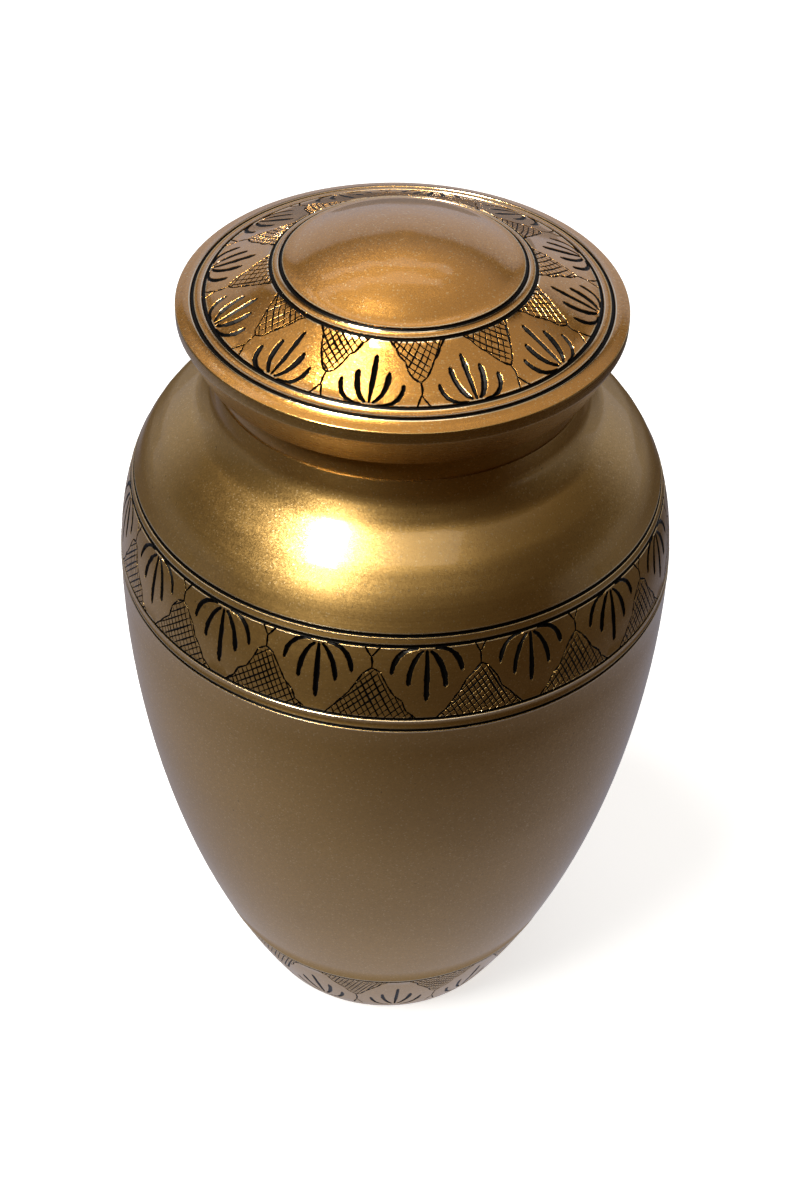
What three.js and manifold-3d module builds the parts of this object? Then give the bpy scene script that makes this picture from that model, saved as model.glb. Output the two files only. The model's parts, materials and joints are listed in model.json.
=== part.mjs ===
// Cremation urn: a turned brass vessel with a lift-off lid and three engraved bands of leaves.
// Millimetres, +Z up. The vertical axis runs through the origin and the foot stands on z = 0.
import * as THREE from "three";
import { mergeVertices } from "three/addons/utils/BufferGeometryUtils.js";
import Module from "manifold-3d";

const wasm = await Module();
wasm.setup();

// Vessel: the outline from the foot over the belly and shoulder to the neck
const footRadius = 44.1;
const footAngle = 63.6;
const footSweep = 72.9;
const bellyRadius = 80;
const bellyHeight = 157;
const bellyFullnessBelow = 24.3;
const bellyFullnessAbove = 24.5;
const shoulderRise = 58.6;
const shoulderSlope = 28.6;
const shoulderSweep = 21.3;
const neckRadius = 50.8;
const neckFlare = 7.7;
const neckFlareHeight = 12.8;
const neckStep = 0.6;
const neckLength = 12.1;

// Vessel: wall, foot ring and hollow
const bodyWall = 1.7;
const footRingWidth = 6;
const footRecess = 1.5;

// Lid: lip, side, rim, flange, leaf slope and dome
const seatGap = 0.3;
const lipDrop = 3.2;
const lipClearance = 1;
const lipWidth = 4.1;
const sideFlare = 4.8;
const sideHeight = 9.8;
const rimHeight = 3.2;
const flangeWidth = 7.6;
const flangeSlope = 14;
const leafSlopeWidth = 17.6;
const leafSlope = 24.7;
const domeMargin = 2.6;
const lidWall = 1.7;
const collarClearance = 0.6;
const collarWall = 1.6;
const collarDepth = 12;

// Engraving: turned lines, leaf veins and the triangles between the leaves
const lineWidth = 1;
const lineDepth = 0.5;
const veinWidth = 1.5;
const veinDepth = 0.6;
const stemWidth = 0.9;
const panelDepth = 0.35;
const cutterLift = 0.6;
const tipLift = 0.1;
const footBandTop = 30.3;
const footBandStart = 2.2;
const shoulderBandStart = 11.4;
const shoulderBandHeight = 22.1;
const lowerLinePitch = 3.9;
const upperLinePitch = 2.7;
const rimLinePitch = 3.1;
const shoulderBandTurn = 6.84;
const footBandTurn = 5.5;
const lidBandTurn = -8.5;

// Counts
const bodyFacets = 48;
const lidFacets = 36;
const shoulderSectors = 17;
const footSectors = 12;
const lidSectors = 12;

const seamTolerance = 0.001;
const radians = THREE.MathUtils.degToRad;
const point = (radius, height) => new THREE.Vector2(radius, height);

// Heights and radii that follow from the driving sizes
const shoulderRadius = neckRadius + neckFlare;
const shoulderHeight = bellyHeight + shoulderRise;
const neckStepHeight = shoulderHeight + neckFlareHeight;
const neckTop = neckStepHeight + neckLength;
const neckTopRadius = neckRadius - neckStep;
const neckBore = neckTopRadius - bodyWall;
const lipHeight = neckTop + seatGap - lipDrop;
const lipInnerRadius = neckTopRadius + lipClearance;
const lidFootRadius = lipInnerRadius + lipWidth;
const lidRadius = lidFootRadius + sideFlare;
const rimBottom = lipHeight + sideHeight;
const rimTop = rimBottom + rimHeight;
const leafOuterRadius = lidRadius - flangeWidth;
const leafInnerRadius = leafOuterRadius - leafSlopeWidth;
const domeRadius = leafInnerRadius - domeMargin;
const domeSphere = domeRadius / Math.sin(radians(leafSlope));

// The vessel's outer wall, up to the step in the neck
function makeWallCurve() {
  const foot = point(footRadius, 0);
  const belly = point(bellyRadius, bellyHeight);
  const shoulder = point(shoulderRadius, shoulderHeight);
  const footLean = point(Math.cos(radians(footAngle)), Math.sin(radians(footAngle)));
  const shoulderLean = point(Math.cos(radians(shoulderSlope)), -Math.sin(radians(shoulderSlope)));
  const neckCorner = point(neckRadius, shoulderHeight + neckFlare * Math.tan(radians(shoulderSlope)));
  const wall = new THREE.CurvePath();
  wall.add(new THREE.CubicBezierCurve(
    foot,
    foot.clone().addScaledVector(footLean, footSweep),
    point(bellyRadius, bellyHeight - bellyFullnessBelow),
    belly,
  ));
  wall.add(new THREE.CubicBezierCurve(
    belly,
    point(bellyRadius, bellyHeight + bellyFullnessAbove),
    shoulder.clone().addScaledVector(shoulderLean, shoulderSweep),
    shoulder,
  ));
  wall.add(new THREE.QuadraticBezierCurve(shoulder, neckCorner, point(neckRadius, neckStepHeight)));
  return wall;
}

const wallCurve = makeWallCurve();

// Place on the outer wall at a height, with the outward direction there
function bodySurface(height) {
  const searchSteps = 40;
  let low = 0;
  let high = 1;
  for (let step = 0; step < searchSteps; step += 1) {
    const middle = (low + high) / 2;
    if (wallCurve.getPoint(middle).y < height) low = middle;
    else high = middle;
  }
  const tangent = wallCurve.getTangent(low);
  return { place: point(wallCurve.getPoint(low).x, height), normal: point(tangent.y, -tangent.x) };
}

// Height of the lid's top at a radius: flange, leaf slope, then the dome that continues it
function lidHeight(radius) {
  const flangeRise = Math.tan(radians(flangeSlope));
  const leafRise = Math.tan(radians(leafSlope));
  const leafOuterHeight = rimTop + flangeWidth * flangeRise;
  if (radius >= leafOuterRadius) return rimTop + (lidRadius - radius) * flangeRise;
  if (radius >= domeRadius) return leafOuterHeight + (leafOuterRadius - radius) * leafRise;
  const domeBase = leafOuterHeight + (leafOuterRadius - domeRadius) * leafRise;
  const rise = Math.sqrt(domeSphere ** 2 - radius ** 2) - domeSphere * Math.cos(radians(leafSlope));
  return domeBase + rise;
}

// Place on the lid's top at a radius, with the upward direction there
function lidSurface(radius) {
  const reach = 0.01;
  const slope = (lidHeight(radius + reach) - lidHeight(radius - reach)) / (2 * reach);
  return { place: point(radius, lidHeight(radius)), normal: point(-slope, 1).normalize() };
}

// Place at a distance outside (or, when negative, inside) a turned surface
function offset(surface, along, distance) {
  const { place, normal } = surface(along);
  return place.clone().addScaledVector(normal, distance);
}

// Evenly spaced places from one end to the other, both ends left out
function between(start, end, count) {
  const step = (end - start) / (count + 1);
  return Array.from({ length: count }, (_, index) => start + step * (index + 1));
}

// The three points of a turned V line, in the order of travel
function turnedLine(surface, along, direction) {
  const half = (direction * lineWidth) / 2;
  return [
    offset(surface, along - half, 0),
    offset(surface, along, -lineDepth),
    offset(surface, along + half, 0),
  ];
}

// Closed geometry without seams or spare corners, ready for cutting
function toSolid(positions, indices) {
  const vertProperties = new Float32Array(positions);
  const triVerts = new Uint32Array(indices);
  return new wasm.Manifold(new wasm.Mesh({ numProp: 3, vertProperties, triVerts }));
}

// Turned solid from an outline that starts and ends on the axis
function turned(outline, facets) {
  const geometry = new THREE.LatheGeometry(outline, facets);
  geometry.deleteAttribute("normal");
  geometry.deleteAttribute("uv");
  geometry.rotateX(Math.PI / 2);
  const merged = mergeVertices(geometry, seamTolerance);
  const corners = merged.index.array;
  const indices = [];
  for (let start = 0; start < corners.length; start += 3) {
    const [first, second, third] = corners.slice(start, start + 3);
    const flat = first === second || second === third || third === first;
    if (!flat) indices.push(first, second, third);
  }
  return toSolid(merged.attributes.position.array, indices);
}

// Point in space over a turned surface: angle from the front, place along, height above the metal
function inSpace(surface, angle, along, lift) {
  const at = offset(surface, along, lift);
  return new THREE.Vector3(at.x * Math.sin(angle), -at.x * Math.cos(angle), at.y);
}

// Volume inside a triangle list, negative when its faces point in
function signedVolume(points, indices) {
  let volume = 0;
  for (let start = 0; start < indices.length; start += 3) {
    const [first, second, third] = indices.slice(start, start + 3).map((index) => points[index]);
    volume += first.dot(second.clone().cross(third)) / 6;
  }
  return volume;
}

// Solid that runs from one tip through like-shaped sections to the other tip
function spindle(firstTip, sections, lastTip) {
  const sides = sections[0].length;
  const points = [firstTip, ...sections.flat(), lastTip];
  const last = points.length - 1;
  const indices = [];
  for (let side = 0; side < sides; side += 1) {
    const next = (side + 1) % sides;
    indices.push(0, 1 + next, 1 + side);
    for (let section = 0; section < sections.length - 1; section += 1) {
      const here = 1 + section * sides;
      const there = here + sides;
      indices.push(here + side, here + next, there + next);
      indices.push(here + side, there + next, there + side);
    }
    indices.push(last, last - sides + side, last - sides + next);
  }
  if (signedVolume(points, indices) < 0) indices.reverse();
  return toSolid(points.flatMap((corner) => corner.toArray()), indices);
}

// V cut along a route of {angle, along} places, widest at the places between its two tips
function veinCutter(surface, route, width) {
  const spread = (width / 2) * (1 + cutterLift / veinDepth);
  const last = route.length - 1;
  const liftAt = (index) => (index === 0 || index === last ? tipLift : cutterLift);
  const places = route.map(({ angle, along }, index) => inSpace(surface, angle, along, liftAt(index)));
  const sections = [];
  for (let index = 1; index < last; index += 1) {
    const bottom = inSpace(surface, route[index].angle, route[index].along, -veinDepth);
    const up = places[index].clone().sub(bottom).normalize();
    const ahead = places[index + 1].clone().sub(places[index - 1]).normalize();
    const across = ahead.cross(up).normalize();
    const left = places[index].clone().addScaledVector(across, -spread);
    const right = places[index].clone().addScaledVector(across, spread);
    sections.push([left, right, bottom]);
  }
  return spindle(places[0], sections, places[last]);
}

// Shallow sunk triangle with its point at one place and its base on a line
function panelCutter(surface, angle, halfAngle, apex, base) {
  const middle = [
    inSpace(surface, angle, base, cutterLift),
    inSpace(surface, angle, base, -panelDepth),
    inSpace(surface, angle, apex, -panelDepth),
    inSpace(surface, angle, apex, cutterLift),
  ];
  const corner = (side) => inSpace(surface, angle + side * halfAngle, base, tipLift);
  return spindle(corner(-1), [middle], corner(1));
}

// Veins of one leaf in shares: sideways of the half repeat, along from the root to the far line
const leafVeins = [
  [[0, 0], [0.02, 0.5], [0, 0.8]],
  [[-0.06, 0], [-0.26, 0.3], [-0.37, 0.53]],
  [[0.06, 0], [0.26, 0.3], [0.37, 0.53]],
  [[-0.24, 0], [-0.48, 0.16], [-0.66, 0.32]],
  [[0.24, 0], [0.48, 0.16], [0.66, 0.32]],
];

// Cutters of a whole band: leaves rooted on one line, triangles standing on the other
function bandCutters({ surface, repeats, turn, root, far, veins, apexShare, panelShare, widthShare }) {
  const halfRepeat = Math.PI / repeats;
  const along = (share) => root + (far - root) * share;
  const cutters = [];
  for (let repeat = 0; repeat < repeats; repeat += 1) {
    const centre = radians(turn) + 2 * halfRepeat * repeat;
    const edge = centre + halfRepeat;
    const place = ([side, share]) => ({ angle: centre + side * halfRepeat, along: along(share) });
    veins.forEach((vein) => {
      cutters.push(veinCutter(surface, vein.map(place), veinWidth * widthShare));
    });
    const stem = [0, apexShare / 2, apexShare].map((share) => [1, share]);
    cutters.push(veinCutter(surface, stem.map(place), stemWidth * widthShare));
    cutters.push(panelCutter(surface, edge, panelShare * halfRepeat, along(apexShare), far));
  }
  return cutters;
}

function cut(solid, cutters) {
  return cutters.reduce((left, cutter) => left.subtract(cutter), solid);
}

// The vessel: outer wall with turned lines, neck, mouth, inner wall and recessed underside
function makeBody() {
  const bandBottom = bellyHeight + shoulderBandStart;
  const leafBottom = bandBottom + lowerLinePitch;
  const leafTop = leafBottom + shoulderBandHeight;
  const bandTop = leafTop + upperLinePitch;
  const line = (height) => turnedLine(bodySurface, height, 1);
  const wall = (heights) => heights.map((height) => offset(bodySurface, height, 0));
  const lining = (heights) => heights.map((height) => offset(bodySurface, height, -bodyWall));
  const footRingInner = footRadius - footRingWidth;
  const floorHeight = footRecess + bodyWall;

  const outline = [
    point(0, footRecess),
    point(footRingInner, footRecess),
    point(footRingInner, 0),
    point(footRadius, 0),
    ...wall(between(0, footBandTop, 1)),
    ...line(footBandTop),
    ...wall(between(footBandTop, bellyHeight, 4)),
    ...wall([bellyHeight]),
    ...line(bandBottom),
    ...line(leafBottom),
    ...wall(between(leafBottom, leafTop, 1)),
    ...line(leafTop),
    ...line(bandTop),
    ...wall(between(bandTop, shoulderHeight, 2)),
    point(shoulderRadius, shoulderHeight),
    ...wall(between(shoulderHeight, neckStepHeight, 2)),
    point(neckRadius, neckStepHeight),
    point(neckTopRadius, neckStepHeight),
    point(neckTopRadius, neckTop),
    point(neckBore, neckTop),
    point(neckBore, neckStepHeight),
    ...lining(between(neckStepHeight, shoulderHeight, 1)),
    offset(bodySurface, shoulderHeight, -bodyWall),
    ...lining(between(shoulderHeight, bellyHeight, 3)),
    ...lining(between(bellyHeight, floorHeight, 3)),
    point(offset(bodySurface, floorHeight, -bodyWall).x, floorHeight),
    point(0, floorHeight),
  ];
  const shoulderBand = {
    surface: bodySurface, repeats: shoulderSectors, turn: shoulderBandTurn, root: leafTop, far: leafBottom,
    veins: leafVeins, apexShare: 0.28, panelShare: 0.78, widthShare: 1,
  };
  const footBand = {
    surface: bodySurface, repeats: footSectors, turn: footBandTurn, root: footBandStart, far: footBandTop,
    veins: leafVeins.slice(0, 3), apexShare: 0.42, panelShare: 0.75, widthShare: 0.8,
  };
  return cut(turned(outline, bodyFacets), [...bandCutters(shoulderBand), ...bandCutters(footBand)]);
}

// The lid: dome, leaf slope, flange, rim, side, lip and the collar that drops into the neck
function makeLid() {
  const seatHeight = neckTop + seatGap;
  const ledgeTop = seatHeight + lidWall;
  const collarRadius = neckBore - collarClearance;
  const collarInner = collarRadius - collarWall;
  const collarBottom = neckTop - collarDepth;
  const sideRadius = (height) => lidFootRadius + (sideFlare * (height - lipHeight)) / sideHeight;
  const line = (radius) => turnedLine(lidSurface, radius, -1);
  const top = (radii) => radii.map((radius) => offset(lidSurface, radius, 0));
  const ceiling = (radii) => radii.map((radius) => offset(lidSurface, radius, -lidWall));
  const rimLine = leafOuterRadius + rimLinePitch;
  const rimInner = lidRadius - lidWall;

  const outline = [
    point(0, lidHeight(0) - lidWall),
    ...ceiling(between(0, domeRadius, 2)),
    ...ceiling([domeRadius, leafOuterRadius]),
    point(rimInner, lidHeight(rimInner) - lidWall),
    point(rimInner, rimBottom),
    point(sideRadius(ledgeTop) - lidWall, ledgeTop),
    point(collarInner, ledgeTop),
    point(collarInner, collarBottom),
    point(collarRadius, collarBottom),
    point(collarRadius, seatHeight),
    point(lipInnerRadius, seatHeight),
    point(lipInnerRadius, lipHeight),
    point(lidFootRadius, lipHeight),
    point(lidRadius, rimBottom),
    point(lidRadius, rimTop),
    ...line(rimLine),
    ...line(leafOuterRadius),
    ...line(leafInnerRadius),
    ...line(domeRadius),
    ...top(between(domeRadius, 0, 3)),
    point(0, lidHeight(0)),
  ];
  const leafBand = {
    surface: lidSurface, repeats: lidSectors, turn: lidBandTurn, root: leafOuterRadius, far: leafInnerRadius,
    veins: leafVeins, apexShare: 0.37, panelShare: 0.75, widthShare: 1,
  };
  return cut(turned(outline, lidFacets), bandCutters(leafBand));
}

// Named mesh in its own brass finish
function makeMesh(name, solid, finish) {
  const { vertProperties, triVerts } = solid.getMesh();
  const geometry = new THREE.BufferGeometry();
  geometry.setAttribute("position", new THREE.BufferAttribute(vertProperties, 3));
  geometry.setIndex(new THREE.BufferAttribute(triVerts, 1));
  const mesh = new THREE.Mesh(geometry, new THREE.MeshStandardMaterial({ ...finish, flatShading: true }));
  mesh.name = name;
  return mesh;
}

const urn = new THREE.Group();
urn.add(makeMesh("urn_body", makeBody(), { color: 0x8a6a33, roughness: 0.34, metalness: 1 }));
urn.add(makeMesh("lid", makeLid(), { color: 0xa8752c, roughness: 0.38, metalness: 1 }));

export default urn;
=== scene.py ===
"""Engraved brass cremation urn: the vessel, its lift-off lid and a plain studio around them."""

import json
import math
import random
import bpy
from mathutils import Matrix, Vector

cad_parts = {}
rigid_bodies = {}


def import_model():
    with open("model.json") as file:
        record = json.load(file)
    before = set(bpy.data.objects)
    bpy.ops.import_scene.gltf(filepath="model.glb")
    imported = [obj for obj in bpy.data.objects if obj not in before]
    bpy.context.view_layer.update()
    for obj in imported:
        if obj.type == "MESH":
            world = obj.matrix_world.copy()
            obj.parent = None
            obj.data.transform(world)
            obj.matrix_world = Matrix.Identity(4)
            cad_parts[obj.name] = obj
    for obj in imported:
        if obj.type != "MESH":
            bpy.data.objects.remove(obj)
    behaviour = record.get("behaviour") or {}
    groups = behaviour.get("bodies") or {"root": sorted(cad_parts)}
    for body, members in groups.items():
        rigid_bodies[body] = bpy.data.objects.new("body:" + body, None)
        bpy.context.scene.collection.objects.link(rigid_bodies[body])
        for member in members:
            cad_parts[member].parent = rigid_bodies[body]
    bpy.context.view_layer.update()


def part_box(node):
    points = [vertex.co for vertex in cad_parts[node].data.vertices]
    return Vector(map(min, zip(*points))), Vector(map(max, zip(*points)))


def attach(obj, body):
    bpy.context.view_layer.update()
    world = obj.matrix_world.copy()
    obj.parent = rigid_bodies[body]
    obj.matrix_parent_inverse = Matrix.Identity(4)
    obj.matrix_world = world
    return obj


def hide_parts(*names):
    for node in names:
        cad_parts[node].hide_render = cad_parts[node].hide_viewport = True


bl_info = {
    "name": "Engraved brass urn",
    "version": (1, 0, 0),
    "blender": (4, 5, 0),
    "location": "View3D > Sidebar > Urn",
    "description": "Models a turned and engraved brass urn with its lid, and a plain studio",
    "category": "Object",
}

import bpy
import numpy as np
from bpy.props import FloatProperty, FloatVectorProperty, IntProperty, PointerProperty
from mathutils import Matrix, Vector
from mathutils.kdtree import KDTree

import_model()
body_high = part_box("urn_body")[1]
lid_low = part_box("lid")[0]

MM = 0.001
# Steps of the lathe round a whole piece
TURN_STEPS = 240
# Bevel on the vessel's sharp edges
EASED = 0.3 * MM
# How far under the outer surface a cut can reach, and how far under it the outer finish goes
CUT_REACH = 1.1 * MM
SKIN = 1.2 * MM


def length(name, description, default):
    """A size in metres that a user can change"""
    return FloatProperty(name=name, description=description, default=default, unit="LENGTH", precision=5)


def angle(name, description, degrees):
    """An angle that a user can change"""
    return FloatProperty(name=name, description=description, default=math.radians(degrees), subtype="ANGLE")


def colour(name, description, default):
    """A linear colour that a user can change"""
    return FloatVectorProperty(name=name, description=description, default=default, subtype="COLOR", size=3)


class VesselSizes(bpy.types.PropertyGroup):
    """Sizes of the vessel's outline and wall"""

    foot_radius: length("Foot radius", "Outer radius of the foot ring", 44.1 * MM)
    foot_angle: angle("Foot angle", "Lean of the wall just above the foot", 63.6)
    foot_sweep: length("Foot sweep", "How far the foot's lean carries up the wall", 72.9 * MM)
    belly_radius: length("Belly radius", "Greatest radius of the vessel", body_high.x)
    belly_height: length("Belly height", "Height of the greatest radius", 157 * MM)
    fullness_below: length("Fullness below", "Upright stretch under the belly", 24.3 * MM)
    fullness_above: length("Fullness above", "Upright stretch over the belly", 24.5 * MM)
    shoulder_rise: length("Shoulder rise", "Belly to the turn into the neck", 58.6 * MM)
    shoulder_slope: angle("Shoulder slope", "Slope of the shoulder where it meets the neck", 28.6)
    shoulder_sweep: length("Shoulder sweep", "How far that slope carries down the shoulder", 21.3 * MM)
    neck_radius: length("Neck radius", "Outer radius of the neck at its ring", 50.8 * MM)
    neck_flare: length("Neck flare", "How much wider the neck's foot is", 7.7 * MM)
    neck_flare_height: length("Neck flare height", "Height of the hollow curve into the neck", 12.8 * MM)
    neck_step: length("Neck step", "Set-back above the neck's ring", 0.6 * MM)
    wall: length("Wall", "Thickness of the vessel's wall", 1.7 * MM)
    foot_ring: length("Foot ring", "Width of the ring that the vessel stands on", 6 * MM)
    foot_recess: length("Foot recess", "Depth of the hollow under the foot", 1.5 * MM)


class LidSizes(bpy.types.PropertyGroup):
    """Sizes of the lid's outline and wall"""

    side_height: length("Side height", "Height of the inward sloping side", 9.8 * MM)
    side_flare: length("Side flare", "How much the side widens upwards", 4.8 * MM)
    rim_height: length("Rim height", "Height of the upright rim", 3.2 * MM)
    flange_width: length("Flange width", "Rim to the leaf band", 7.6 * MM)
    flange_slope: angle("Flange slope", "Slope of the flange", 14)
    leaf_width: length("Leaf band width", "Width of the leaf band on the lid", 17.6 * MM)
    leaf_slope: angle("Leaf band slope", "Slope of the leaf band on the lid", 24.7)
    dome_margin: length("Dome margin", "Leaf band to the dome's own line", 2.6 * MM)
    wall: length("Wall", "Thickness of the lid's wall", 1.7 * MM)
    lip_width: length("Lip width", "Width of the lid's lower lip", 4.1 * MM)
    lip_drop: length("Lip drop", "How far the lip hangs below the seat", 3.2 * MM)
    neck_play: length("Neck play", "Clearance between the neck and the lid's lip", 1 * MM)
    seat_play: length("Seat play", "Clearance between the neck's top and the lid's seat", 0.3 * MM)
    collar_radius: length("Collar radius", "Outer radius of the collar in the neck", 47.9 * MM)
    collar_wall: length("Collar wall", "Thickness of the collar", 1.6 * MM)


class EngravingSizes(bpy.types.PropertyGroup):
    """Sizes of the turned lines and the hand-cut engraving"""

    line_width: length("Line width", "Width of a turned line", 1.05 * MM)
    line_depth: length("Line depth", "Depth of a turned line", 0.42 * MM)
    burr: length("Burr", "Height of the bright edge beside a turned line", 0.1 * MM)
    vein_width: length("Vein width", "Widest part of a leaf vein", 1.75 * MM)
    vein_depth: length("Vein depth", "Depth of a leaf vein", 0.45 * MM)
    edge_width: length("Edge width", "Width of the cuts around a hatched triangle", 0.78 * MM)
    hatch_width: length("Hatch width", "Width of a hatching line", 0.6 * MM)
    hatch_depth: length("Hatch depth", "Depth of a hatching line", 0.24 * MM)
    hatch_pitch: length("Hatch pitch", "Distance between hatching lines", 1.6 * MM)
    foot_band_top: length("Foot band top", "Height of the line over the foot band", 30.3 * MM)
    foot_band_start: length("Foot band start", "Height where the foot leaves start", 2.2 * MM)
    shoulder_band_start: length("Shoulder band start", "Belly to the lowest shoulder line", 11.4 * MM)
    lower_pitch: length("Lower line pitch", "Distance between the two lower lines", 3.9 * MM)
    shoulder_band: length("Shoulder band height", "Height of the leaf band", 22.1 * MM)
    upper_pitch: length("Upper line pitch", "Distance between the two upper lines", 2.7 * MM)
    rim_pitch: length("Rim line pitch", "Distance between the lid's two outer lines", 3.1 * MM)
    seed: IntProperty(name="Seed", description="Starts the small hand-cut differences", default=7)


class BrassFinish(bpy.types.PropertyGroup):
    """Colours of the metal and of the black in the cuts"""

    body_brass: colour("Body brass", "Lacquered brass of the vessel", (0.66, 0.40, 0.125))
    lid_brass: colour("Lid brass", "Warmer lacquered brass of the lid", (0.78, 0.37, 0.075))
    raw_brass: colour("Raw brass", "Unlacquered brass inside and underneath", (0.42, 0.29, 0.13))
    enamel: colour("Black fill", "Black in the engraved cuts", (0.012, 0.011, 0.010))


def bezier(*corners, count=40):
    """Points along a curve with two, three or four corners"""
    share = np.linspace(0, 1, count)[:, None]
    points = [np.array(corner, float) for corner in corners]
    while len(points) > 1:
        points = [(1 - share) * a + share * b for a, b in zip(points, points[1:])]
    return points[0]


class Outline:
    """A turned outline of (radius, height) points, measured along its length"""

    def __init__(self, points):
        points = np.asarray(points, float)
        keep = np.r_[True, np.hypot(*np.diff(points, axis=0).T) > 1e-7]
        self.points = points[keep]
        self.lengths = np.r_[0, np.cumsum(np.hypot(*np.diff(self.points, axis=0).T))]

    def place(self, along):
        """Points on the outline at these lengths"""
        return np.stack([np.interp(along, self.lengths, self.points[:, axis]) for axis in (0, 1)], -1)

    def normal(self, along):
        """Outward directions at these lengths"""
        reach = 0.05 * MM
        step = self.place(np.asarray(along) + reach) - self.place(np.asarray(along) - reach)
        step /= np.linalg.norm(step, axis=-1, keepdims=True)
        return np.stack([step[..., 1], -step[..., 0]], -1)

    def lifted(self, along, lift):
        """Points at a height over the outline"""
        return self.place(along) + self.normal(along) * np.asarray(lift)[..., None]

    def at_height(self, height):
        """Length where the outline first reaches a height"""
        return float(np.interp(height, self.points[:, 1], self.lengths))

    def at_radius(self, radius):
        """Length where an outline that runs inwards reaches a radius"""
        return float(np.interp(-radius, -self.points[:, 0], self.lengths))

    def stations(self, start, end, pitch):
        """Evenly spaced lengths from start to before end"""
        count = max(1, round((end - start) / pitch))
        return np.linspace(start, end, count, endpoint=False)


def line_profile(sizes):
    """Places across a turned line and the height of the metal at each"""
    half = sizes.line_width / 2
    across = np.array([-1.75, -1.45, -1.16, -0.98, -0.5, 0.5, 0.98, 1.16, 1.45, 1.75]) * half
    height = np.array([0, 0.7, 1.0, 0, 0, 0, 0, 1.0, 0.7, 0]) * sizes.burr
    depth = np.array([0, 0, 0, 0.1, 1, 1, 0.1, 0, 0, 0]) * sizes.line_depth
    return across, height - depth


def with_lines(outline, lines, start, end, pitches, sizes):
    """Points along an outline from start to end, with turned lines cut at the given lengths"""
    across, heights = line_profile(sizes)
    margin = across[-1]
    edges = [start - margin, *lines, end + margin]
    points = []
    for index, (low, high) in enumerate(zip(edges, edges[1:])):
        if index > 0:
            points.append(outline.lifted(low + across, heights))
        inner = outline.stations(low + margin, high - margin, pitches[index])
        points.append(outline.place(inner[1:] if index > 0 else inner))
    return np.vstack(points)


def body_surface(sizes):
    """The vessel's smooth outer wall from the foot to the ring in the neck"""
    shoulder_height = sizes.belly_height + sizes.shoulder_rise
    shoulder_radius = sizes.neck_radius + sizes.neck_flare
    ring_height = shoulder_height + sizes.neck_flare_height
    corner = shoulder_height + sizes.neck_flare * math.tan(sizes.shoulder_slope)
    lower = bezier(
        (sizes.foot_radius, 0),
        (
            sizes.foot_radius + sizes.foot_sweep * math.cos(sizes.foot_angle),
            sizes.foot_sweep * math.sin(sizes.foot_angle),
        ),
        (sizes.belly_radius, sizes.belly_height - sizes.fullness_below),
        (sizes.belly_radius, sizes.belly_height),
        count=240,
    )
    upper = bezier(
        (sizes.belly_radius, sizes.belly_height),
        (sizes.belly_radius, sizes.belly_height + sizes.fullness_above),
        (
            shoulder_radius + sizes.shoulder_sweep * math.cos(sizes.shoulder_slope),
            shoulder_height - sizes.shoulder_sweep * math.sin(sizes.shoulder_slope),
        ),
        (shoulder_radius, shoulder_height),
        count=160,
    )
    neck = bezier(
        (shoulder_radius, shoulder_height),
        (sizes.neck_radius, corner),
        (sizes.neck_radius, ring_height),
        count=60,
    )
    return Outline(np.vstack([lower, upper, neck]))


def lid_surface(sizes, vessel):
    """The lid's smooth top from the rim to the middle of the dome"""
    rise = [math.tan(sizes.flange_slope), math.tan(sizes.leaf_slope)]
    lip_inner = vessel.neck_radius - vessel.neck_step + sizes.neck_play
    rim_radius = lip_inner + sizes.lip_width + sizes.side_flare
    rim_top = body_high.z + sizes.seat_play - sizes.lip_drop + sizes.side_height + sizes.rim_height
    leaf_radius = rim_radius - sizes.flange_width
    leaf_height = rim_top + sizes.flange_width * rise[0]
    dome_radius = leaf_radius - sizes.leaf_width - sizes.dome_margin
    dome_height = leaf_height + (leaf_radius - dome_radius) * rise[1]
    sphere = dome_radius / math.sin(sizes.leaf_slope)
    centre = dome_height - sphere * math.cos(sizes.leaf_slope)
    turns = np.linspace(sizes.leaf_slope, 0, 60)
    dome = np.stack([sphere * np.sin(turns), centre + sphere * np.cos(turns)], -1)
    bend = 0.8 * MM
    flange = bezier((rim_radius, rim_top), (leaf_radius + bend, leaf_height - bend * rise[0]), count=2)
    corner = bezier(
        (leaf_radius + bend, leaf_height - bend * rise[0]),
        (leaf_radius, leaf_height),
        (leaf_radius - bend, leaf_height + bend * rise[1]),
        count=8,
    )
    return Outline(np.vstack([flange, corner, dome]))


def select_none():
    """Leaves edit mode and deselects everything"""
    if bpy.context.mode != "OBJECT":
        bpy.ops.object.mode_set(mode="OBJECT")
    bpy.ops.object.select_all(action="DESELECT")


def activate(piece):
    """Selects one object alone"""
    select_none()
    piece.select_set(True)
    bpy.context.view_layer.objects.active = piece


def turn_outline(name, points):
    """Draws an outline by extruding a vertex, spins it round the upright axis and closes it"""
    select_none()
    bpy.ops.mesh.primitive_plane_add(size=MM)
    piece = bpy.context.object
    piece.name = name
    piece.data.name = name
    bpy.ops.object.mode_set(mode="EDIT")
    bpy.ops.mesh.merge(type="CENTER")
    start = points[0]
    bpy.ops.transform.translate(value=(start[0], 0, start[1]))
    for step in np.diff(points, axis=0):
        bpy.ops.mesh.extrude_region_move(TRANSFORM_OT_translate={"value": (step[0], 0, step[1])})
    bpy.ops.mesh.select_all(action="SELECT")
    bpy.ops.mesh.spin(steps=TURN_STEPS, angle=2 * math.pi, center=(0, 0, 0), axis=(0, 0, 1))
    bpy.ops.mesh.select_all(action="SELECT")
    bpy.ops.mesh.remove_doubles(threshold=0.002 * MM)
    bpy.ops.mesh.normals_make_consistent(inside=False)
    bpy.ops.object.mode_set(mode="OBJECT")
    return piece


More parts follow.
